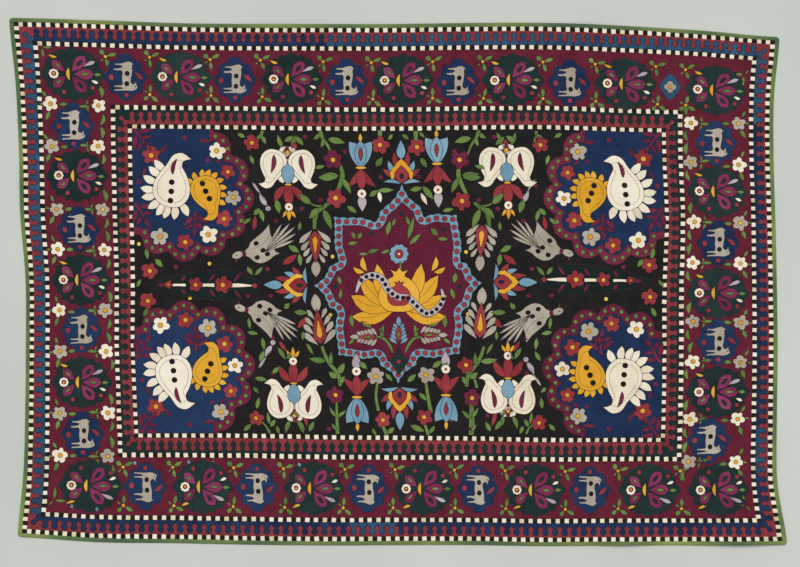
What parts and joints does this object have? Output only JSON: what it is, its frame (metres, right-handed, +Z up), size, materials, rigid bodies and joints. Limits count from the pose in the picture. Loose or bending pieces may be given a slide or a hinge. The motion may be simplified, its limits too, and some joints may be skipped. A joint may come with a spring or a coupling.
{
  "type": "embroidered floor cover",
  "caption": "Rectangular wool patchwork floor cover lying flat: dark field, chequer rows, toothed guard bands and a wide border inside a folded binding.",
  "frame": {"origin": "middle of the underside, on the floor that the cover lies on", "axes": "+X along the length, +Y from the near long edge to the far one, +Z up out of the worked face"},
  "size_m": [2.133, 1.4494, 0.0091],
  "materials": {
    "black_wool": "matte fulled wool",
    "crimson_wool": "matte fulled wool",
    "chequer_wool": "matte fulled wool, cream and black squares",
    "outer_band_wool": "matte fulled wool, blue and red teeth",
    "inner_band_wool": "matte fulled wool, red and green teeth",
    "green_binding": "matte wool, folded over the edge"
  },
  "bodies": {
    "root": {"field": "black_wool", "far_binding": "green_binding", "near_binding": "green_binding", "left_binding": "green_binding", "right_binding": "green_binding", "far_check_1": "chequer_wool", "near_check_1": "chequer_wool", "left_check_1": "chequer_wool", "right_check_1": "chequer_wool", "far_outer_band": "outer_band_wool", "near_outer_band": "outer_band_wool", "left_outer_band": "outer_band_wool", "right_outer_band": "outer_band_wool", "far_check_2": "chequer_wool", "near_check_2": "chequer_wool", "left_check_2": "chequer_wool", "right_check_2": "chequer_wool", "far_main_border": "crimson_wool", "near_main_border": "crimson_wool", "left_main_border": "crimson_wool", "right_main_border": "crimson_wool", "far_check_3": "chequer_wool", "near_check_3": "chequer_wool", "left_check_3": "chequer_wool", "right_check_3": "chequer_wool", "far_inner_band": "inner_band_wool", "near_inner_band": "inner_band_wool", "left_inner_band": "inner_band_wool", "right_inner_band": "inner_band_wool", "far_check_4": "chequer_wool", "near_check_4": "chequer_wool", "left_check_4": "chequer_wool", "right_check_4": "chequer_wool"}
  },
  "joints": []
}
